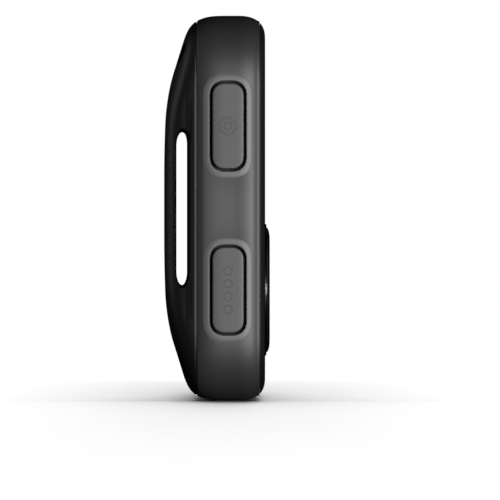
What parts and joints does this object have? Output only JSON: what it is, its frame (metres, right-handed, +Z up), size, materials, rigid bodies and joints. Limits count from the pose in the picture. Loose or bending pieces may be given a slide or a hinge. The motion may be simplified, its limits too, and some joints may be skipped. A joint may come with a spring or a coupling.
{
  "type": "cycling computer",
  "caption": "Upright handlebar computer with a front display above a round navigation pad, sealed side buttons, a hinged port door and a strap tunnel through its back hump.",
  "frame": {"origin": "under the middle of the case, at its lowest point, as it stands on its lower end", "axes": "+Z up along the case, -Y out of the display, +X towards the side with the power button and port"},
  "size_m": [0.0464, 0.0192, 0.07],
  "materials": {
    "shell_black": "moulded satin black",
    "frame_grey": "soft-touch dark grey",
    "silicone_black": "matt silicone",
    "screw_steel": "plain steel",
    "lens": "polished, smoke tinted",
    "panel_glass": "matt reflective display",
    "white_plastic": "moulded white",
    "black_plastic": "moulded black",
    "amber_film": "polyimide film",
    "trim_aluminium": "turned and anodised",
    "pad_gloss": "gloss black",
    "board_green": "glass fibre board with solder mask",
    "button_grey": "moulded satin grey",
    "boot_grey": "matt grey silicone",
    "socket_steel": "drawn steel",
    "foil": "tinned sheet",
    "antenna_ceramic": "fired ceramic",
    "cell_foil": "laminated pouch",
    "wire_red": "silicone insulation"
  },
  "bodies": {
    "case": {"front_shell": "shell_black", "mid_frame": "frame_grey", "back_shell": "shell_black", "front_seal": "silicone_black", "back_seal": "silicone_black", "case_screw_upper_left": "screw_steel", "case_screw_upper_right": "screw_steel", "case_screw_lower_left": "screw_steel", "case_screw_lower_right": "screw_steel", "display_lens": "lens", "lens_gasket": "silicone_black", "display_panel": "panel_glass", "backlight": "white_plastic", "display_holder": "black_plastic", "display_flex": "amber_film", "display_connector": "white_plastic", "nav_trim_ring": "trim_aluminium", "nav_keymat": "silicone_black", "dome_sheet": "amber_film", "nav_board_screw_left": "screw_steel", "nav_board_screw_right": "screw_steel", "nav_board": "board_green", "nav_board_connector": "black_plastic", "settings_button_boot": "boot_grey", "settings_switch": "black_plastic", "mode_button_boot": "boot_grey", "mode_switch": "black_plastic", "power_button_boot": "boot_grey", "power_switch": "black_plastic", "port_hinge_pin": "screw_steel", "usb_socket": "socket_steel", "main_board": "board_green", "shield_can": "foil", "radio_module": "foil", "gps_antenna": "antenna_ceramic", "radio_antenna": "antenna_ceramic", "battery": "cell_foil", "battery_pad": "silicone_black", "battery_guard_board": "board_green", "battery_plug": "white_plastic", "battery_lead_red": "wire_red", "battery_lead_black": "black_plastic", "buzzer": "black_plastic"},
    "settings_button": {"settings_button": "button_grey", "settings_switch_plunger": "white_plastic"},
    "mode_button": {"mode_button": "button_grey", "mode_switch_plunger": "white_plastic"},
    "power_button": {"power_button": "button_grey", "power_switch_plunger": "white_plastic"},
    "nav_pivot": {"nav_pivot_collar": "black_plastic"},
    "nav_rocker": {"nav_rocker": "pad_gloss"},
    "select_button": {"select_button": "pad_gloss"},
    "port_door": {"port_door": "button_grey", "port_door_seal": "silicone_black"}
  },
  "joints": [
    {"name": "settings_press", "type": "slide", "parent": "case", "child": "settings_button", "axis": [1, 0, 0], "range_m": [0, 0.0003], "stiffness_N_per_m": 6000, "springref_m": -0.0001, "deforming": ["settings_button_boot"]},
    {"name": "mode_press", "type": "slide", "parent": "case", "child": "mode_button", "axis": [1, 0, 0], "range_m": [0, 0.0003], "stiffness_N_per_m": 6000, "springref_m": -0.0001, "deforming": ["mode_button_boot"]},
    {"name": "power_press", "type": "slide", "parent": "case", "child": "power_button", "axis": [-1, 0, 0], "range_m": [0, 0.0003], "stiffness_N_per_m": 6000, "springref_m": -0.0001, "deforming": ["power_button_boot"]},
    {"name": "nav_up_down", "type": "hinge", "parent": "case", "child": "nav_pivot", "pos_m": [0, -0.0068, 0.02015], "axis": [1, 0, 0], "range_deg": [-1.6, 1.6], "stiffness_Nm_per_rad": 0.5, "deforming": ["nav_keymat"]},
    {"name": "nav_left_right", "type": "hinge", "parent": "nav_pivot", "child": "nav_rocker", "pos_m": [0, -0.0068, 0.02015], "axis": [0, 0, 1], "range_deg": [-1.6, 1.6], "stiffness_Nm_per_rad": 0.5, "deforming": ["nav_keymat"]},
    {"name": "select_press", "type": "slide", "parent": "nav_rocker", "child": "select_button", "axis": [0, 1, 0], "range_m": [0, 0.0003], "stiffness_N_per_m": 5000, "springref_m": -0.0001, "deforming": ["nav_keymat"]},
    {"name": "port_door_hinge", "type": "hinge", "parent": "case", "child": "port_door", "pos_m": [0.0221, -0.00202, 0.01245], "axis": [0, 1, 0], "range_deg": [0, 90]}
  ]
}
